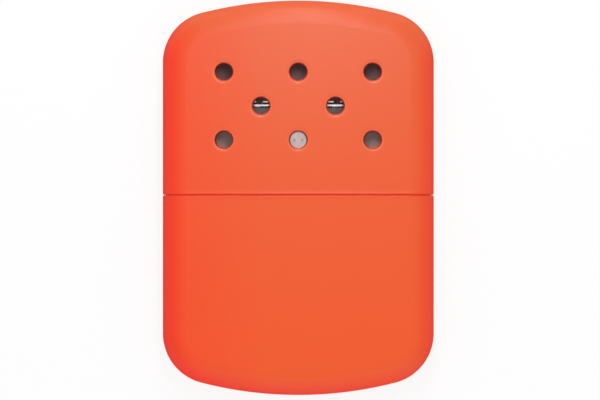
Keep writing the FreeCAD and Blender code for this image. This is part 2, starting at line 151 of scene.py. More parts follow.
class Finish:
    """A material or world with nodes, and the shader that its signals end in."""

    def __init__(self, owner, shader_kind):
        owner.use_nodes = True
        self.owner = owner
        self.tree = owner.node_tree
        self.tree.nodes.clear()
        kind = "World" if isinstance(owner, bpy.types.World) else "Material"
        output = self.tree.nodes.new("ShaderNodeOutput" + kind)
        self.shader = self.tree.nodes.new(shader_kind)
        self.tree.links.new(self.shader.outputs[0], output.inputs["Surface"])

    def node(self, kind, settings=None, inputs=None):
        """A new node: its settings first, then the values or links of its sockets."""
        node = self.tree.nodes.new(kind)
        for name, value in (settings or {}).items():
            setattr(node, name, value)
        self.feed(node, inputs or {})
        return node

    def add(self, kind, settings=None, inputs=None, output=0):
        """A new node as a signal from one of its outputs."""
        return Signal(self, self.node(kind, settings, inputs).outputs[output])

    def feed(self, node, inputs):
        """Sets or links sockets, which are named by their place or their name."""
        for key, value in inputs.items():
            if isinstance(value, Signal):
                self.tree.links.new(value.socket, node.inputs[key])
            else:
                node.inputs[key].default_value = value

    def coordinates(self, kind="Object"):
        return self.add("ShaderNodeTexCoord", output=kind)

    def parts(self, vector):
        """The X, Y and Z of a vector, as three signals."""
        split = self.node("ShaderNodeSeparateXYZ", inputs={0: vector})
        return [Signal(self, socket) for socket in split.outputs]

    def vector(self, operation, first, second, output=0):
        return self.add("ShaderNodeVectorMath", {"operation": operation}, {0: first, 1: second}, output)

    def stretched(self, vector, scale):
        return self.vector("MULTIPLY", vector, scale)

    def noise(self, vector, size, detail=2.0, roughness=0.5):
        """Noise from 0 to 1 whose features are about size wide."""
        return self.add("ShaderNodeTexNoise", {"noise_dimensions": "3D"},
                        {"Vector": vector, "Scale": 1 / size, "Detail": detail, "Roughness": roughness})

    def blend(self, share, first, second):
        """first where share is 0, second where it is 1.  Both are colours."""
        sockets = {"Factor": share, 6: self.as_colour(first), 7: self.as_colour(second)}
        return self.add("ShaderNodeMix", {"data_type": "RGBA"}, sockets, output=2)

    @staticmethod
    def as_colour(value):
        return value if isinstance(value, Signal) else (*value, 1.0)

    def brightened(self, colour, value):
        """A colour whose brightness is multiplied by value."""
        return self.add("ShaderNodeHueSaturation", inputs={"Color": colour, "Value": value})

    def white_rays(self):
        """1 for the rays that meet the plain white: the camera's, and those off or through a shiny piece."""
        path = self.node("ShaderNodeLightPath")
        camera, glossy, through = (Signal(self, path.outputs[name])
                                   for name in ("Is Camera Ray", "Is Glossy Ray", "Is Transmission Ray"))
        return (camera + glossy + through).smaller(1.0)

    def bump(self, height, distance, normal=None):
        """A Bump node, whose height is in units of distance."""
        inputs = {"Height": height, "Distance": distance, "Strength": 1.0}
        if normal is not None:
            inputs["Normal"] = normal
        return self.add("ShaderNodeBump", inputs=inputs)


def new_finish(name, **constants):
    """A new material with a Principled shader.  constants are its sockets, with spaces as underscores."""
    finish = Finish(bpy.data.materials.new(name), "ShaderNodeBsdfPrincipled")
    finish.feed(finish.shader, {key.replace("_", " "): value for key, value in constants.items()})
    return finish


def darker(colour, share):
    """That share of a colour's brightness."""
    return tuple(channel * share for channel in colour)


def wear(piece, finish):
    """Gives piece that finish alone."""
    piece.data.materials.clear()
    piece.data.materials.append(finish.owner)


# --- Meshes -----------------------------------------------------------------------------------------------
def quads(rows, columns, wrap_rows=False, start=0):
    """Faces of a grid of rows by columns vertices, numbered row by row from start.

    Each row is a closed ring, and with wrap_rows each column is one too.
    """
    row = np.arange(rows if wrap_rows else rows - 1)[:, None]
    column = np.arange(columns)[None, :]
    next_row, next_column = (row + 1) % rows, (column + 1) % columns
    corners = (row * columns + column, row * columns + next_column,
               next_row * columns + next_column, next_row * columns + column)
    return start + np.stack(np.broadcast_arrays(*corners), axis=-1).reshape(-1, 4)


def new_piece(name, points, faces):
    """A smoothly shaded mesh object at the origin, with its place in its mesh."""
    mesh = bpy.data.meshes.new(name)
    mesh.from_pydata(np.reshape(points, (-1, 3)).tolist(), [], [list(map(int, face)) for face in faces])
    mesh.shade_smooth()
    piece = bpy.data.objects.new(name, mesh)
    bpy.context.scene.collection.objects.link(piece)
    return piece


def slot_outline(width, thickness, count):
    """Points of a flat oval with round ends in the XZ plane, evenly spaced by its own length.

    A distance s round the oval first runs along the low side, then round the right end, back along the high
    side and round the left end.  On an end the angle is the distance on that end divided by the radius.
    """
    radius, reach = thickness / 2, (width - thickness) / 2
    straight, bend = 2 * reach, math.pi * radius
    s = np.arange(count) / count * 2 * (straight + bend)
    on_right = np.clip(s - straight, 0, bend) / radius
    on_left = np.clip(s - 2 * straight - bend, 0, bend) / radius
    angle = on_right + on_left - math.pi / 2
    along = np.clip(s, 0, straight) - np.clip(s - straight - bend, 0, straight) - reach
    return np.stack([along + radius * np.cos(angle), MIDDLE_Z + radius * np.sin(angle)], axis=1)


def strip_ring(width, thickness, sheet, low_y, high_y, count=96):
    """Points of an upright strip bent to a flat oval: a rectangle carried round slot_outline.

    Its four corners are the outer outline at both heights, then the inner one, sheet further in.
    """
    outer = slot_outline(width, thickness, count)
    inner = slot_outline(width - 2 * sheet, thickness - 2 * sheet, count)
    corners = [(outer, high_y), (outer, low_y), (inner, low_y), (inner, high_y)]
    rings = [np.stack([line[:, 0], np.full(count, y), line[:, 1]], axis=1) for line, y in corners]
    return np.stack(rings, axis=1), quads(count, 4, wrap_rows=True)


def tubes(paths, side, radius, sides):
    """Round wires along paths, an array of wires by points by 3, with closed flat ends.

    At each point the ring is path + radius (cos t normal + sin t side), where normal is square to both the
    path's own direction and side, and t runs once round.
    """
    wires, points = paths.shape[:2]
    along = np.gradient(paths, axis=1)
    side = np.broadcast_to(side, along.shape)
    normal = np.cross(side, along)
    normal /= np.linalg.norm(normal, axis=2, keepdims=True)
    t = np.arange(sides) / sides * 2 * math.pi
    ring = np.cos(t)[:, None] * normal[:, :, None] + np.sin(t)[:, None] * side[:, :, None]
    skin = (paths[:, :, None] + radius * ring).reshape(-1, 3)
    faces = []
    for wire in range(wires):
        start = wire * points * sides
        faces += quads(points, sides, start=start).tolist()
        faces.append(list(range(start + sides - 1, start - 1, -1)))
        last = start + (points - 1) * sides
        faces.append(list(range(last, last + sides)))
    return skin, faces


def turned_back(values, low, high):
    """Values past low or high come back from it by as much as they ran past it."""
    values = low + np.abs(values - low)
    return high - np.abs(high - values)


def waves(points, size, seed, count=24):
    """Smooth lumps about size wide, mostly from -1 to 1.

    They are the mean of count plane waves in random directions, times the root of half their count.
    """
    shortest, longest = 1.2, 3.0
    dice = np.random.default_rng(seed)
    direction = dice.normal(size=(count, 3))
    direction /= np.linalg.norm(direction, axis=1, keepdims=True)
    wavelength = size * dice.uniform(shortest, longest, count)
    phase = dice.uniform(0, 2 * math.pi, count)
    turns = points @ (direction / wavelength[:, None]).T * 2 * math.pi
    return np.sin(turns + phase).mean(axis=1) * math.sqrt(count / 2)


def soft_copy(node, name, voxel, sink, lumps, seed):
    """A pad in place of a node's plain solid: its copy remeshed evenly, eased, and sunk into itself.

    Every vertex moves inwards along its normal by sink + the sum of depth (1 + waves) / 2 over lumps, which
    lists each lump's width and depth, so the pad stays inside the solid.
    """
    piece = bpy.data.objects.new(name, NODES[node].data.copy())
    bpy.context.scene.collection.objects.link(piece)
    weld = piece.modifiers.new("weld", "WELD")
    weld.merge_threshold = 0.001 * MM
    remesh = piece.modifiers.new("remesh", "REMESH")
    remesh.mode = "VOXEL"
    remesh.voxel_size = voxel
    ease = piece.modifiers.new("ease", "SMOOTH")
    ease.factor = 0.5
    ease.iterations = 6
    evaluated = piece.evaluated_get(bpy.context.evaluated_depsgraph_get())
    mesh = bpy.data.meshes.new_from_object(evaluated)
    piece.modifiers.clear()
    piece.data = mesh
    mesh.name = name
    count = len(mesh.vertices)
    points, normals = np.empty(count * 3), np.empty(count * 3)
    mesh.vertices.foreach_get("co", points)
    mesh.vertex_normals.foreach_get("vector", normals)
    points, normals = points.reshape(-1, 3), normals.reshape(-1, 3)
    depth = np.full(count, sink)
    for number, (width, deep) in enumerate(lumps):
        depth += deep * (1 + np.clip(waves(points, width, seed + number), -1, 1)) / 2
    mesh.vertices.foreach_set("co", (points - depth[:, None] * normals).ravel())
    mesh.shade_smooth()
    mesh.update()
    return piece


# --- Settings ---------------------------------------------------------------------------------------------
def colour_setting(name, description, default):
    return bpy.props.FloatVectorProperty(name=name, description=description, subtype="COLOR", size=3,
                                         min=0.0, max=1.0, default=default)


def length_setting(name, description, default):
    return bpy.props.FloatProperty(name=name, description=description, unit="LENGTH", precision=6,
                                   min=0.0, default=default)


def share_setting(name, description, default, high=1.0):
    return bpy.props.FloatProperty(name=name, description=description, subtype="FACTOR",
                                   min=0.0, max=high, default=default)


class WARMER_PG_paint(bpy.types.PropertyGroup):
    """Colours and grain of the painted shells."""

    # Painted sheen: the lid's colour is paler than the case's, standing in for the strip light's sheen
    # towards the lid's end
    lid_sheen_colour: colour_setting("Lid colour", "Coating towards the lid's end", (0.745, 0.098, 0.022))
    case_colour: colour_setting("Case colour", "Coating towards the case's end", (0.878, 0.088, 0.009))
    # Painted shade: a deeper, darker red where less light and sheen fall, on rounded edges, the left side and
    # the rim
    shaded_edge_colour: colour_setting("Edge colour", "Coating where it is thicker, on the rounded edges",
                                (0.960, 0.024, 0.000))
    # Painted highlight: the vents' lips are paler where they face the lid's end and the strip light
    lip_highlight_colour: colour_setting("Lip colour", "Coating drawn thin over the vents' rounded lips",
                               (0.86, 0.20, 0.10))
    # Painted shade: the vents' throats are dark red, least where they look to the lid's end and its strip
    # light
    throat_shade_colour: colour_setting("Throat colour", "Coating down in the vents, thin over the primer",
                                  (0.36, 0.020, 0.006))
    # Radius inside which the throats' painted shade begins
    throat_shade_radius: length_setting("Throat radius", "From a vent's axis to where its coating turns thin",
                                  2.38 * MM)
    # Painted bounce light: the inside's dull red stands partly for light bounced in off the coating
    primer_and_bounce_colour: colour_setting("Primer colour", "Primed sheet inside the shells", (0.60, 0.31, 0.31))
    steel_colour: colour_setting("Steel colour", "Bare sheet inside, towards the rim", (0.92, 0.60, 0.55))
    vent_dip_width: length_setting("Vent dip width", "How far round a vent's mouth the face is drawn down",
                                   0.6 * MM)
    vent_dip_depth: length_setting("Vent dip depth", "How far it is drawn down at the mouth", 0.05 * MM)
    flare_width: length_setting("Flare width", "How far from its rim a shell is flared", 1.5 * MM)
    flare_rise: length_setting("Flare rise", "How far the rim stands out", 0.12 * MM)
    roughness: share_setting("Roughness", "Of the cured coating", 0.323)
    grain_size: length_setting("Grain size", "Width of the coating's fine texture", 0.28 * MM)
    grain_depth: length_setting("Grain depth", "Height of the coating's fine texture", 0.006 * MM)
    overspray: length_setting("Overspray", "How far the coating reaches inside past the rim", 2.2 * MM)


class WARMER_PG_burner(bpy.types.PropertyGroup):
    """Colours and wire sizes of the burner and the tank's top."""

    cap_colour: colour_setting("Cap colour", "Plated sheet of the tank's top", (0.58, 0.55, 0.51))
    nickel_colour: colour_setting("Nickel colour", "Plated sheet of the burner", (0.43, 0.36, 0.35))
    heat_colour: colour_setting("Heat colour", "Plating that the catalyst has tinted", (0.34, 0.24, 0.23))
    wire_colour: colour_setting("Wire colour", "Ring, wires and gauze", (0.56, 0.53, 0.54))
    gauze_wire: length_setting("Gauze wire", "Diameter of the gauze's wire", 0.22 * MM)
    gauze_pitch: length_setting("Gauze pitch", "Between neighbouring wires", 0.8 * MM)


class WARMER_PG_pads(bpy.types.PropertyGroup):
    """Colours and grain of the mat, the wadding and the felt."""

    mat_colour: colour_setting("Mat colour", "Coated glass fibre", (0.22, 0.175, 0.168))
    fibre_colour: colour_setting("Fibre colour", "Loose glass fibres on the mat", (0.42, 0.37, 0.36))
    cotton_colour: colour_setting("Cotton colour", "Wadding in the tank", (0.80, 0.78, 0.72))
    felt_colour: colour_setting("Felt colour", "Pressed felt under the cap", (0.66, 0.62, 0.54))
    fibres: bpy.props.IntProperty(name="Fibres", description="Loose fibres on the mat's faces", min=0,
                                  default=420)


class WARMER_PG_stage(bpy.types.PropertyGroup):
    """Camera and light."""

    camera_distance: length_setting("Camera distance", "From the warmer's middle plane to the lens", 1.0)
    frame_width: length_setting("Frame width", "Width of the picture at the warmer's middle plane", 0.15068)
    aim_x: bpy.props.FloatProperty(name="Aim X", description="Picture's centre across the warmer",
                                   unit="LENGTH", precision=6, default=0.43 * MM)
    aim_y: bpy.props.FloatProperty(name="Aim Y", description="Picture's centre along the warmer",
                                   unit="LENGTH", precision=6, default=-0.55 * MM)
    sky: share_setting("Sky", "Radiance of the pale dome overhead", 0.86, high=4.0)
    strip: share_setting("Strip light", "Radiance of the long narrow light over the lid's end", 8.1,
                         high=20.0)
    screen: share_setting("Screen", "Radiance of the pale screen beyond the case's end", 0.4, high=20.0)


SETTINGS = {
    "warmer_paint": WARMER_PG_paint,
    "warmer_burner": WARMER_PG_burner,
    "warmer_pads": WARMER_PG_pads,
    "warmer_stage": WARMER_PG_stage,
}


# --- Finishes ---------------------------------------------------------------------------------------------
# Softness of borders
SHARP = 0.02 * MM
SOFT = 0.2 * MM

# Slopes of faces, each a level and a softness for Signal.above or below
LOOKS_OUT = (-0.4, 0.1)          # of the normal's Z, above which a vent's wall doesn't look back into the lid
UPRIGHT = (0.2, 0.3)             # of the normal's Z, below which a face is upright or looks down
ROUNDED = (0.45, 0.5)            # of 1 - the size of the normal's Z, above which an edge is rounded

# The shells' coating.  A drift is a share of the shaded edge colour: painted shade, a deeper red where less
# light and sheen fall.
COATING_IOR = 1.42
COATING_VALUE = 0.985
# Painted sheen: the coating turns paler towards the lid's end, where the strip light falls
SHEEN_TURN_Y = 9 * MM           # where the case's colour has half turned into the lid's
SHEEN_TURN_LENGTH = 80 * MM
MOTTLE_SIZE = 11 * MM            # of the coating's soft clouds
MOTTLE_SHIFT = 10 * MM           # by which they move the turn of its colour
MOTTLE_VALUE = 0.03              # by which they brighten it
MOTTLE_ROUGHNESS = 0.03          # by which they roughen it
# Painted shade: the left side and left edges are darker, as more light comes from the right
SIDE_DRIFT = 0.36                # towards the left side
SIDE_DRIFT_X = -19 * MM          # where it has half set in
SIDE_DRIFT_WIDTH = 22 * MM
LEFT_EDGE_DRIFT = 0.8            # times the turn of a face to the left
OTHER_EDGE_DRIFT = 1.25          # times its turn past OTHER_EDGE_TURN to the right or the case's end
OTHER_EDGE_TURN = 0.3
LID_END_LOSS = 0.8               # times its turn to the lid's end
UPRIGHT_LOSS = 0.55              # share of the drift that UPRIGHT faces lose
# Painted shade along the seam: the rim takes more of the shaded edge colour, and is darker still
RIM_DRIFT = 0.5
RIM_WIDTH = 0.4 * MM
RIM_SHADE = 0.05                 # by which the rim is darker: painted shade in the seam
RIM_SHADE_WIDTH = 0.35 * MM
THROAT_LOSS = 0.9                # share of the throats' painted shade lost where they look to the lid's end and its light
LIP_TURN = 2.5                   # how fast the lips' painted highlight ends as they turn to the case's end
LIP_SHARE = 0.5
EDGE_ROUGHNESS = 0.55            # added on rounded edges
DIP_LAYER = 0.1 * MM             # under the front face, and drawn down with it
SPECKLE_SIZE = 0.6 * MM          # of the ragged borders of overspray and primer
OVERSPRAY_SPECKLE = 1.2          # raggedness of its border, times its reach
OVERSPRAY_SHARE = 0.9            # of the coating, where the overspray is thickest

# The sheet inside the shells
SHEET_ROUGHNESS = 0.45
SHEET_METALLIC = 0.85
SHEET_MARK_SIZE = 0.3 * MM
SHEET_MARK_STRETCH = (1.0, 0.08, 1.0)
SHEET_MARK_SHADE = 0.25
PRIMER_START = 22 * MM           # inwards from the rim, where half the sheet is red with primer and painted bounce light
PRIMER_FADE = 12 * MM
PRIMER_SPECKLE = 4 * MM          # raggedness of its border
PRIMER_METALLIC_LOSS = 0.5

# Nickel plate, and what overspray, heat and painted shade leave on it
PLATE_MARK_SIZE = 0.22 * MM
PLATE_MARK_STRETCH = (1.0, 0.05, 1.0)
PLATE_MARK_SHARE = 0.18
PLATE_MARK_DEPTH = 0.003 * MM
CLOUD_SIZE = 4.5 * MM
CLOUD_SHIFT = 4 * MM             # by which the clouds move the border of the heat's tint
HEAT_FADE = 6 * MM
HEAT_SHARE = 0.45
STAKE_SHADE_SHARE = 0.45             # painted shade in the stake marks
TARNISH_SIZE = 1.4 * MM
TARNISHED = (0.62, 0.22)         # of its noise
TARNISH_SHARE = 0.3
SPRAY_REACH = 0.15 * MM          # of the case's coating on the tank cap past the lid's rim, in the throats' dark red: partly painted shade in the seam's gap
SPRAY_BORDER = 0.1 * MM          # softness and raggedness of its border

# Drawn wire
PATCH_SIZE = 1.1 * MM
PATCHED = (0.55, 0.3)            # of its noise
PATCH_SHARE = 0.4

# Matted fibre.  Widths are in strands.
ONE_WAY = (0.2, 1.0, 1.0)        # stretch of the two layers
OTHER_WAY = (1.0, 0.25, 0.6)
OTHER_WIDTH = 1.3
CLUMP_WIDTH = 14
STRANDS_LIT = (0.58, 0.3)        # of the strands' noise
CLUMPS_LIT = (0.5, 0.5)          # of the clumps' noise
STRAND_SHARE = 0.7
CLUMP_SHARE = 0.3
# Painted shadow: a near-black band along the mat's top, under the ring
RING_SHADOW_COLOUR = (0.012, 0.010, 0.009)
RING_SHADOW_SHARE = 0.85
RING_SHADOW_SHIFT = 0.1 * MM          # by which the strands move the painted shadow's border


def vent_distance(place_x, place_y):
    """The distance to the nearest vent's axis, in rows of three, two and three.

    Both halves are folded onto one another with absolute values.  The rows of three then have vents at 0 and
    one pitch across and one pitch along, and the row of two has one at half a pitch across and 0 along.
    """
    across, along = abs(place_x), abs(place_y - VENT_MIDDLE_Y)
    nearest = across.smaller(abs(across - VENT_PITCH_X))
    off_threes = (nearest ** 2 + abs(along - VENT_PITCH_Y) ** 2) ** 0.5
    off_twos = (abs(across - VENT_PITCH_X / 2) ** 2 + along ** 2) ** 0.5
    return off_threes.smaller(off_twos)


class ShellPoint:
    """Where a shaded point lies on a shell, as signals.

    inside is a point in the shell's hollow, and outward is above 0 on the faces that look away from it.
    from_rim grows into the shell from 0 at the rim's height rim_y, where inwards is +1 if the hollow lies
    towards +Y.  at_vent is 1 on and round a vent, and towards_lid is how far a face looks to the lid's end.
    """

    def __init__(self, finish, inside, rim_y, inwards):
        self.position, normal = finish.coordinates(), finish.coordinates("Normal")
        self.x, self.y, self.z = finish.parts(self.position)
        self.normal_x, self.normal_y, self.normal_z = finish.parts(normal)
        from_inside = finish.vector("SUBTRACT", self.position, inside)
        self.outward = finish.vector("DOT_PRODUCT", from_inside, normal, output=1)
        self.from_rim = (self.y - rim_y) * inwards
        self.from_vent = vent_distance(self.x, self.y)
        near_mouth = self.from_vent.below(VENT_MOUTH + VENT_MARGIN, VENT_MARGIN)
        self.at_vent = near_mouth * self.z.above(LID_HIGH.z - VENT_REACH, SHARP)
        self.towards_lid = self.normal_y.positive()


def coated_share(point, paint, speckle):
    """1 outside and in the vents, and 0 inside past the overspray, whose border is ragged.

    A face close under the front one that doesn't look back into the lid is a vent's.
    """
    vent_wall = point.z.above(LID_HIGH.z - VENT_WALL_REACH, SHARP) * point.normal_z.above(*LOOKS_OUT)
    overspray = (point.from_rim / paint.overspray + (speckle - 0.5) * OVERSPRAY_SPECKLE).below(1.0, 0.5)
    return point.outward.above(0.0, 0.1 * MM).larger(vent_wall).larger(overspray * OVERSPRAY_SHARE)


def edge_shade_share(point):
    """Painted shade: the share of the shaded edge colour.

    It is more to the left, on rounded edges and at the rim, less on upright faces and where a face looks to
    the lid's end, and none in the vents.
    """
    side = point.x.below(SIDE_DRIFT_X, SIDE_DRIFT_WIDTH) * SIDE_DRIFT
    left_edge = (0 - point.normal_x).positive() * LEFT_EDGE_DRIFT
    other_turn = point.normal_x.larger(0 - point.normal_y) - OTHER_EDGE_TURN
    other_edge = other_turn.positive() * OTHER_EDGE_DRIFT
    drift = (side + left_edge + other_edge - point.towards_lid * LID_END_LOSS).clipped()
    drift = drift * (1 - point.at_vent) * (1 - point.normal_z.below(*UPRIGHT) * UPRIGHT_LOSS)
    return drift.larger(point.from_rim.below(RIM_WIDTH, SOFT) * RIM_DRIFT)


def coating_colour(finish, point, paint, mottle):
    """The case's colour, turning paler towards the lid's end as painted sheen.

    Rounded edges, the rim and the vents' throats get painted shade, and the vents' lips a painted highlight.
    """
    # Painted shade in the vents' throats, less where they face the lid's end
    throat_shade = point.from_vent.below(paint.throat_shade_radius, SOFT) * point.at_vent
    throat_shade = throat_shade * (1 - point.towards_lid * THROAT_LOSS)
    # Painted highlight on the lips that face the lid's end
    lip_highlight = (point.at_vent - throat_shade).positive() * (1 + point.normal_y * LIP_TURN).clipped()
    # Painted sheen: paler towards the lid's end
    turned = (point.y + mottle * MOTTLE_SHIFT).above(SHEEN_TURN_Y, SHEEN_TURN_LENGTH)
    colour = finish.blend(turned, paint.case_colour, paint.lid_sheen_colour)
    # Painted shade on edges, the left side and the rim
    colour = finish.blend(edge_shade_share(point), colour, paint.shaded_edge_colour)
    colour = finish.blend(lip_highlight * LIP_SHARE, colour, paint.lip_highlight_colour)
    colour = finish.blend(throat_shade, colour, paint.throat_shade_colour)
    # Painted shade in the seam, along the rim
    rim_shade = point.from_rim.below(RIM_SHADE_WIDTH, SOFT) * RIM_SHADE
    return finish.brightened(colour, COATING_VALUE + mottle * MOTTLE_VALUE - rim_shade)


def inner_colour(finish, point, paint, primer_and_bounce_share):
    """Red sheet, bare towards the rim, with drawing marks along the pressing's depth.

    Its red is partly primer and partly painted bounce light off the coating.
    """
    marks = finish.noise(finish.stretched(point.position, SHEET_MARK_STRETCH), SHEET_MARK_SIZE)
    colour = finish.blend(primer_and_bounce_share, paint.steel_colour, paint.primer_and_bounce_colour)
    return finish.brightened(colour, 1 - marks * SHEET_MARK_SHADE)


def shell_relief(finish, point, paint, coated):
    """The rim's flare, the dip round each vent and the coating's fine grain.

    The flare is the square of how near the rim is, from 1 at it to 0 at the flare's width.  The dip is the
    square of how near a vent's mouth is.
    """
    flare = (1 - point.from_rim / paint.flare_width).positive() ** 2
    relief = finish.bump(flare * coated, paint.flare_rise)
    dip = (1 - (point.from_vent - VENT_MOUTH) / paint.vent_dip_width).positive() ** 2
    dip = dip * point.z.above(LID_HIGH.z - DIP_LAYER, DIP_LAYER / 2)
    relief = finish.bump(0 - dip, paint.vent_dip_depth, normal=relief)
    grain = finish.noise(point.position, paint.grain_size, detail=1.0)
    return finish.bump(grain * coated, paint.grain_depth, normal=relief)


def painted_sheet(paint, name, inside, rim_y, inwards):
    """Steel sheet, coated outside and red inside, partly primer and partly painted bounce light.

    inside, rim_y and inwards are ShellPoint's.
    """
    finish = new_finish(name, IOR=COATING_IOR)
    point = ShellPoint(finish, inside, rim_y, inwards)
    speckle = finish.noise(point.position, SPECKLE_SIZE, detail=3.0)
    mottle = finish.noise(point.position, MOTTLE_SIZE, detail=3.0)
    coated = coated_share(point, paint, speckle)
    # Where the sheet is red, partly primer and partly painted bounce light
    primer_and_bounce_share = (point.from_rim + (speckle - 0.5) * PRIMER_SPECKLE).above(PRIMER_START, PRIMER_FADE)
    rounded = (1 - abs(point.normal_z)).above(*ROUNDED) * (1 - point.at_vent)
    past_sheet = paint.roughness - SHEET_ROUGHNESS + rounded * EDGE_ROUGHNESS
    inner = inner_colour(finish, point, paint, primer_and_bounce_share)
    finish.feed(finish.shader, {
        "Base Color": finish.blend(coated, inner, coating_colour(finish, point, paint, mottle)),
        "Metallic": (1 - coated) * (SHEET_METALLIC - primer_and_bounce_share * PRIMER_METALLIC_LOSS),
        "Roughness": coated * past_sheet + SHEET_ROUGHNESS + (mottle - 0.5) * MOTTLE_ROUGHNESS,
        "Normal": shell_relief(finish, point, paint, coated),
    })
    return finish


def stake_distance(place_x, place_y):
    """The distance to the nearest stake mark's axis.  Three pairs stand in a row across the cage.

    Left and right are folded onto one another, and then the two marks of an outer pair are as well.
    """
    across = abs(place_x)
    off_middle_pair = abs(across - STAKE_PITCH / 2)
    off_outer_pair = abs(abs(across - STAKE_PAIR_PITCH) - STAKE_PITCH / 2)
    nearest = off_middle_pair.smaller(off_outer_pair)
    return (nearest ** 2 + abs(place_y - STAKE_Y) ** 2) ** 0.5


def plated_sheet(name, plate, heated=None, sprayed_and_shaded=None):
    """Satin nickel plate with fine drawing marks along the pressing's depth, and small spots of tarnish.

    The last two arguments are each a height and a colour.  Above the first, the catalyst's heat has tinted
    the plate in soft clouds, and the stake marks are darkened with painted shade.  Up to the second, the
    plate carries the case's coating; on the tank cap it is the throats' dark red, partly painted shade in the
    seam.
    """
    finish = new_finish(name)
    position = finish.coordinates()
    place_x, place_y = finish.parts(position)[:2]
    marks = finish.noise(finish.stretched(position, PLATE_MARK_STRETCH), PLATE_MARK_SIZE, detail=3.0)
    clouds = finish.noise(position, CLOUD_SIZE, detail=3.0)
    tarnish = finish.noise(position, TARNISH_SIZE, detail=4.0).above(*TARNISHED)
    colour = finish.blend(marks * PLATE_MARK_SHARE, plate, darker(plate, 0.72))
    if heated is not None:
        heat_y, heat_colour = heated
        heat = (place_y + clouds * CLOUD_SHIFT).above(heat_y, HEAT_FADE)
        colour = finish.blend(heat * HEAT_SHARE, colour, heat_colour)
        # Painted shade: the stake marks are darkened with the heat tint
        stake_shade = stake_distance(place_x, place_y).below(STAKE_RADIUS, SOFT)
        colour = finish.blend(stake_shade * STAKE_SHADE_SHARE, colour, darker(heat_colour, 0.4))
    colour = finish.blend(tarnish * TARNISH_SHARE, colour, darker(plate, 0.55))
    metallic = 1.0
    if sprayed_and_shaded is not None:
        spray_y, spray_shade_colour = sprayed_and_shaded
        # Overspray in the throats' dark red, partly painted shade in the seam's gap
        spray_and_shade = (place_y + marks * SPRAY_BORDER).below(spray_y, SPRAY_BORDER)
        colour = finish.blend(spray_and_shade, colour, spray_shade_colour)
        metallic = 1 - spray_and_shade
    finish.feed(finish.shader, {
        "Base Color": colour,
        "Metallic": metallic,
        "Roughness": 0.26 + marks * 0.10 + clouds * 0.06 + tarnish * 0.10,
        "Normal": finish.bump(marks, PLATE_MARK_DEPTH),
    })
    return finish


def wire_finish(burner):
    """Plain drawn steel wire, dulled by use in soft patches."""
    finish = new_finish("drawn_wire", Metallic=1.0)
    patches = finish.noise(finish.coordinates(), PATCH_SIZE, detail=3.0)
    dulled = patches.above(*PATCHED) * PATCH_SHARE
    colour = finish.blend(dulled, burner.wire_colour, darker(burner.wire_colour, 0.6))
    finish.feed(finish.shader, {"Base Color": colour, "Roughness": 0.24 + patches * 0.16})
    return finish


def fibre_finish(name, colour, strand, depth, shade, ring_shadow_from=None):
    """Matted fibre: two layers of stretched noise that cross, in colour and in relief.

    strand is a strand's width, depth the relief's height and shade how dark the hollows are.  Past the height
    in the last argument, if given, the fibre is darkened to near black: a painted shadow under the mat's
    ring.
    """
    finish = new_finish(name, Roughness=0.95, Sheen_Weight=0.25, Sheen_Roughness=0.6)
    position = finish.coordinates()
    one_way, other_way = (
        finish.noise(finish.stretched(position, stretch), width, detail=3.0, roughness=0.6)
        for stretch, width in ((ONE_WAY, strand), (OTHER_WAY, strand * OTHER_WIDTH)))
    strands = one_way.larger(other_way)
    clumps = finish.noise(position, strand * CLUMP_WIDTH)
    lit = strands.above(*STRANDS_LIT) * STRAND_SHARE + clumps.above(*CLUMPS_LIT) * CLUMP_SHARE
    fibre = finish.blend(lit, darker(colour, shade), colour)
    if ring_shadow_from is not None:
        # Painted shadow along the mat's top, under the ring
        ring_shadow = (finish.parts(position)[1] + strands * RING_SHADOW_SHIFT).above(ring_shadow_from, SOFT)
        fibre = finish.blend(ring_shadow * RING_SHADOW_SHARE, fibre, RING_SHADOW_COLOUR)
    finish.feed(finish.shader, {"Base Color": fibre, "Normal": finish.bump(strands, depth)})
    return finish


# --- Operators --------------------------------------------------------------------------------------------
class WARMER_OT_shells(bpy.types.Operator):
    """Paint the lid and the lower case outside, and make them red inside with primer and painted bounce light
    """

    bl_idname = "warmer.shells"
    bl_label = "Painted shells"

    def execute(self, context):
        paint = context.scene.warmer_paint
        middle_x = (LID_LOW.x + LID_HIGH.x) / 2
        lid_inside = (middle_x, (LID_LOW.y + LID_HIGH.y) / 2, MIDDLE_Z)
        case_inside = (middle_x, (CASE_LOW.y + CASE_HIGH.y) / 2, MIDDLE_Z)
        wear(NODES["lid_shell"], painted_sheet(paint, "painted_lid", lid_inside, LID_LOW.y, 1))
        wear(NODES["lower_case"], painted_sheet(paint, "painted_case", case_inside, CASE_HIGH.y, -1))
        return {"FINISHED"}


class WARMER_OT_tank_top(bpy.types.Operator):
    """Plate the tank cap and the filler neck"""

    bl_idname = "warmer.tank_top"
    bl_label = "Tank cap and neck"

    def execute(self, context):
        cap_colour = context.scene.warmer_burner.cap_colour
        # The band on the collar takes the throats' dark red: partly painted shade in the seam's gap under the
        # lid's rim
        coating = context.scene.warmer_paint.throat_shade_colour
        finish = plated_sheet("plated_tank_top", cap_colour, sprayed_and_shaded=(LID_LOW.y + SPRAY_REACH, coating))
        wear(NODES["tank_cap"], finish)
        wear(NODES["filler_neck"], finish)
        return {"FINISHED"}


class WARMER_OT_burner_metal(bpy.types.Operator):
    """Plate the burner's sleeve and cage, and dull its ring and wires"""

    bl_idname = "warmer.burner_metal"
    bl_label = "Burner metal"

    def execute(self, context):
        burner = context.scene.warmer_burner
        plate = plated_sheet("plated_burner", burner.nickel_colour, heated=(MAT_LOW.y, burner.heat_colour))
        wire = wire_finish(burner)
        wear(NODES["burner_sleeve"], plate)
        wear(NODES["burner_cage"], plate)
        for name in ("mat_ring", "cross_wire_left", "cross_wire_middle", "cross_wire_right"):
            wear(NODES[name], wire)
        return {"FINISHED"}


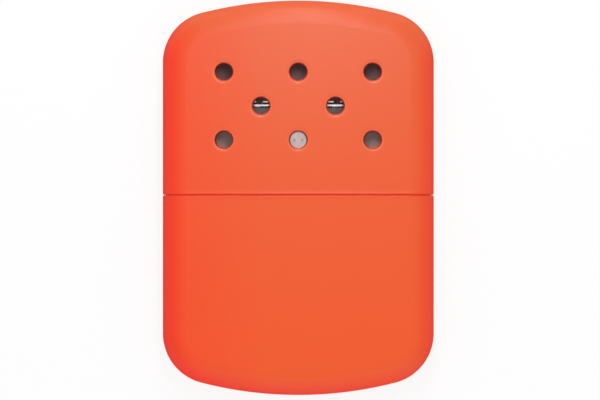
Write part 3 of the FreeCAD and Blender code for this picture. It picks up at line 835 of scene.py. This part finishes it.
class WARMER_OT_gauze(bpy.types.Operator):
    """Weave the wire gauze under the mat, inside its strip"""

    bl_idname = "warmer.gauze"
    bl_label = "Woven gauze"

    STRIP = 0.3 * MM         # thickness of the strip round the weave
    WIRE_SHARE = 0.96        # of the wire's diameter, which keeps crossing wires apart
    WIRE_SIDES = 6
    WEFT_POINTS = 120
    WARP_POINTS = 48

    def execute(self, context):
        burner = context.scene.warmer_burner
        wire, pitch = burner.gauze_wire, burner.gauze_pitch
        width, thickness = GAUZE_HIGH.x - GAUZE_LOW.x, GAUZE_HIGH.z - GAUZE_LOW.z
        rim_points, rim_faces = strip_ring(width, thickness, self.STRIP, GAUZE_LOW.y, GAUZE_HIGH.y)
        radius, reach = thickness / 2 - self.STRIP / 2, (width - thickness) / 2
        middle_y = (GAUZE_LOW.y + GAUZE_HIGH.y) / 2
        points, faces = [rim_points.reshape(-1, 3)], rim_faces.tolist()
        start = len(points[0])
        for skin, own_faces in (self.weft(radius, reach, middle_y, wire, pitch),
                                self.warp(radius, reach, middle_y, wire, pitch)):
            points.append(skin)
            faces += [[index + start for index in face] for face in own_faces]
            start += len(skin)
        piece = new_piece("woven_gauze", np.concatenate(points), faces)
        wear(piece, wire_finish(burner))
        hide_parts("support_gauze")
        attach(piece, "burner")
        return {"FINISHED"}

    def weft(self, radius, reach, middle_y, wire, pitch):
        """Wires along X: y = middle + wire/2 cos(pi x / pitch), turned over on every second wire."""
        count = int(radius / pitch)
        z = np.arange(-count, count + 1) * pitch
        half = reach + np.sqrt(radius**2 - z**2)
        x = half[:, None] * np.linspace(-1, 1, self.WEFT_POINTS)
        turn = np.where(np.arange(-count, count + 1) % 2 == 0, 1, -1)[:, None]
        y = middle_y + wire / 2 * np.cos(math.pi * x / pitch) * turn
        paths = np.stack([x, y, np.broadcast_to(MIDDLE_Z + z[:, None], x.shape)], axis=2)
        return tubes(paths, np.array([0.0, 0.0, 1.0]), wire / 2 * self.WIRE_SHARE, self.WIRE_SIDES)

    def warp(self, radius, reach, middle_y, wire, pitch):
        """Wires along Z: y = middle - wire/2 cos(pi z / pitch), turned over on every second wire.

        A wire on a round end that would be no longer than twice its diameter is left out.
        """
        count = int((reach + radius) / pitch)
        x = np.arange(-count, count + 1) * pitch
        past = np.clip(np.abs(x) - reach, 0, radius)
        half = np.sqrt(radius**2 - past**2)
        keep = half > wire
        x, half = x[keep], half[keep]
        z = half[:, None] * np.linspace(-1, 1, self.WARP_POINTS)
        turn = np.where(np.round(x / pitch) % 2 == 0, 1, -1)[:, None]
        y = middle_y - wire / 2 * np.cos(math.pi * z / pitch) * turn
        paths = np.stack([np.broadcast_to(x[:, None], z.shape), y, MIDDLE_Z + z], axis=2)
        return tubes(paths, np.array([1.0, 0.0, 0.0]), wire / 2 * self.WIRE_SHARE, self.WIRE_SIDES)


class WARMER_OT_catalyst_mat(bpy.types.Operator):
    """Make the fibrous catalyst mat and the loose fibres on its faces"""

    bl_idname = "warmer.catalyst_mat"
    bl_label = "Catalyst mat"

    def execute(self, context):
        pads = context.scene.warmer_pads
        mat = soft_copy("catalyst_mat", "fibre_mat", voxel=0.30 * MM, sink=0.02 * MM,
                        lumps=[(2.5 * MM, 0.18 * MM), (0.7 * MM, 0.10 * MM)], seed=11)
        # The mat's top is darkened as a painted shadow under the ring
        wear(mat, fibre_finish("matted_glass_fibre", pads.mat_colour, strand=0.12 * MM, depth=0.06 * MM,
                               shade=0.45, ring_shadow_from=MAT_HIGH.y - 0.45 * MM))
        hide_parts("catalyst_mat")
        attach(mat, "burner")
        fibres = self.loose_fibres(pads.fibres)
        wear(fibres, fibre_finish("loose_glass_fibre", pads.fibre_colour, strand=0.08 * MM, depth=0.01 * MM,
                                  shade=0.7))
        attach(fibres, "burner")
        return {"FINISHED"}

    @staticmethod
    def loose_fibres(count):
        """Thin arcs that lie on the mat's front and back faces.

        A fibre's direction is its first heading plus its bend times the distance along it, and its points are
        the running sum of short steps in that direction.  It turns back before the mat's borders.  Its ends
        lie just under the plain solid's face, and half a sine wave over its length lifts its middle.
        """
        steps, step = 9, 0.16 * MM
        radius, sides = 0.018 * MM, 4
        most_bend, border = 1.6, 0.1 * MM
        sunk, arch, most_raised = 0.05 * MM, 0.03 * MM, 0.04 * MM
        dice = np.random.default_rng(5)
        thickness = MAT_HIGH.z - MAT_LOW.z
        reach = (MAT_HIGH.x - MAT_LOW.x - thickness) / 2
        travel = np.arange(steps) / (steps - 1)
        heading = dice.uniform(0, 2 * math.pi, (count, 1))
        heading = heading + dice.uniform(-most_bend, most_bend, (count, 1)) * travel
        x = dice.uniform(-reach, reach, (count, 1)) + np.cumsum(np.cos(heading), axis=1) * step
        y = dice.uniform(MAT_LOW.y, MAT_HIGH.y, (count, 1)) + np.cumsum(np.sin(heading), axis=1) * step
        x = turned_back(x, -reach, reach)
        y = turned_back(y, MAT_LOW.y + border, MAT_HIGH.y - border)
        side = np.where(np.arange(count) % 2 == 0, 1, -1)[:, None]
        lift = thickness / 2 - sunk + arch * np.sin(travel * math.pi)
        lift = lift + dice.uniform(0, most_raised, (count, 1))
        paths = np.stack([x, y, MIDDLE_Z + side * lift], axis=2)
        skin, faces = tubes(paths, np.array([0.0, 0.0, 1.0]), radius, sides)
        return new_piece("mat_fibres", skin, faces)


class WARMER_OT_wadding(bpy.types.Operator):
    """Make the cotton wadding that fills the tank"""

    bl_idname = "warmer.wadding"
    bl_label = "Cotton wadding"

    def execute(self, context):
        finish = fibre_finish("cotton_wadding", context.scene.warmer_pads.cotton_colour, strand=0.3 * MM,
                              depth=0.12 * MM, shade=0.8)
        for number, node in enumerate(WADDING):
            pad = soft_copy(node, node.replace("pad", "wadding"), voxel=0.6 * MM, sink=0.02 * MM,
                            lumps=[(6 * MM, 0.45 * MM), (1.8 * MM, 0.2 * MM)], seed=30 + 3 * number)
            wear(pad, finish)
            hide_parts(node)
            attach(pad, "case")
        return {"FINISHED"}


class WARMER_OT_felt(bpy.types.Operator):
    """Make the felt pad under the tank cap"""

    bl_idname = "warmer.felt"
    bl_label = "Felt pad"

    def execute(self, context):
        felt = soft_copy("felt_pad", "felt_sheet", voxel=0.4 * MM, sink=0.01 * MM,
                         lumps=[(9 * MM, 0.12 * MM), (0.9 * MM, 0.06 * MM)], seed=60)
        wear(felt, fibre_finish("pressed_felt", context.scene.warmer_pads.felt_colour, strand=0.16 * MM,
                                depth=0.05 * MM, shade=0.72))
        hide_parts("felt_pad")
        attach(felt, "case")
        return {"FINISHED"}


class WARMER_OT_stage(bpy.types.Operator):
    """Set the camera straight above the warmer, the soft lights and the white floor"""

    bl_idname = "warmer.stage"
    bl_label = "Stage"

    WHITE = (1.0, 1.0, 1.0, 1.0)
    FLOOR_COLOUR = (0.95, 0.95, 0.95, 1.0)
    FLOOR_HALF = 1.5             # half a side of the floor
    FLOOR_WHITE_SHARE = 0.85     # of the floor's plain white, for the rays that see it

    def execute(self, context):
        stage = context.scene.warmer_stage
        context.scene.view_settings.view_transform = "Standard"
        self.camera(context, stage)
        self.sky(context, stage)
        self.lamp(context, "strip", stage.strip, width=0.030, top=(0.043, 0.228), foot=(0.608, 0.030),
                  x=0.006)
        self.lamp(context, "screen", stage.screen, width=0.500, top=(-0.233, 0.250), foot=(-0.232, 0.001),
                  x=0.0)
        self.floor(context)
        return {"FINISHED"}

    @staticmethod
    def camera(context, stage):
        """A camera straight above, whose picture is frame_width wide at the warmer's middle plane."""
        lens = bpy.data.cameras.new("camera")
        lens.sensor_width = 36.0
        lens.lens = lens.sensor_width * stage.camera_distance / stage.frame_width
        lens.clip_start = 0.01
        camera = bpy.data.objects.new("camera", lens)
        camera.location = (stage.aim_x, stage.aim_y, MIDDLE_Z + stage.camera_distance)
        context.scene.collection.objects.link(camera)
        context.scene.camera = camera

    @classmethod
    def sky(cls, context, stage):
        """A pale dome, dimmer towards the horizon, which the camera and reflections see as white."""
        world = context.scene.world or bpy.data.worlds.new("studio")
        context.scene.world = world
        finish = Finish(world, "ShaderNodeBackground")
        height = finish.parts(finish.coordinates("Generated"))[2]
        brightness = finish.add("ShaderNodeMapRange", inputs={
            "Value": height, "From Min": 0.0, "From Max": 0.75, "To Min": 0.3, "To Max": 1.0})
        dome = brightness * stage.sky
        strength = dome + finish.white_rays() * (1 - dome)
        finish.feed(finish.shader, {"Color": cls.WHITE, "Strength": strength})

    @staticmethod
    def lamp(context, name, radiance, width, top, foot, x):
        """A flat soft lamp of that width, from top to foot, which are places (y, z).  It faces the warmer.

        Turned by -lean about X, a lamp shines along (-sin lean, -cos lean) in Y and Z.  Where that points
        away from the warmer, it is turned half round.
        """
        length = math.dist(top, foot)
        middle_y, middle_z = (top[0] + foot[0]) / 2, (top[1] + foot[1]) / 2
        lean = math.atan2(top[1] - foot[1], foot[0] - top[0])
        if middle_y * math.sin(lean) + middle_z * math.cos(lean) < 0:
            lean += math.pi
        light = bpy.data.lights.new(name, "AREA")
        light.shape = "RECTANGLE"
        light.size, light.size_y = width, length
        light.energy = radiance * math.pi * width * length
        lamp = bpy.data.objects.new(name, light)
        lamp.location = (x, middle_y, middle_z)
        lamp.rotation_euler = (-lean, 0.0, 0.0)
        lamp.visible_camera = False
        context.scene.collection.objects.link(lamp)

    @classmethod
    def floor(cls, context):
        """A white floor.  The camera and reflections see mostly plain white, and a share of its shadows."""
        half = cls.FLOOR_HALF
        corners = [(-half, -half, 0), (half, -half, 0), (half, half, 0), (-half, half, 0)]
        mesh = bpy.data.meshes.new("floor")
        mesh.from_pydata(corners, [], [(0, 1, 2, 3)])
        floor = bpy.data.objects.new("floor", mesh)
        context.scene.collection.objects.link(floor)
        finish = Finish(bpy.data.materials.new("white_floor"), "ShaderNodeMixShader")
        cloth = finish.add("ShaderNodeBsdfDiffuse", inputs={"Color": cls.FLOOR_COLOUR})
        white = finish.add("ShaderNodeEmission", inputs={"Color": cls.WHITE, "Strength": 1.0})
        finish.feed(finish.shader, {0: finish.white_rays() * cls.FLOOR_WHITE_SHARE, 1: cloth, 2: white})
        wear(floor, finish)


OPERATORS = (WARMER_OT_shells, WARMER_OT_tank_top, WARMER_OT_burner_metal, WARMER_OT_gauze,
             WARMER_OT_catalyst_mat, WARMER_OT_wadding, WARMER_OT_felt, WARMER_OT_stage)


class WARMER_PT_panel(bpy.types.Panel):
    """Lists the settings and the operators."""

    bl_idname = "WARMER_PT_panel"
    bl_label = "Hand warmer"
    bl_space_type = "VIEW_3D"
    bl_region_type = "UI"
    bl_category = "Hand Warmer"

    def draw(self, context):
        for setting, group in SETTINGS.items():
            box = self.layout.box()
            for name in group.__annotations__:
                box.prop(getattr(context.scene, setting), name)
        for operator in OPERATORS:
            self.layout.operator(operator.bl_idname)


CLASSES = (*SETTINGS.values(), *OPERATORS, WARMER_PT_panel)


def register():
    for item in CLASSES:
        bpy.utils.register_class(item)
    for setting, group in SETTINGS.items():
        setattr(bpy.types.Scene, setting, bpy.props.PointerProperty(type=group))


def unregister():
    for setting in SETTINGS:
        delattr(bpy.types.Scene, setting)
    for item in reversed(CLASSES):
        bpy.utils.unregister_class(item)


def main():
    register()
    for operator in OPERATORS:
        group, name = operator.bl_idname.split(".")
        getattr(getattr(bpy.ops, group), name)()


if __name__ == "__main__":
    main()
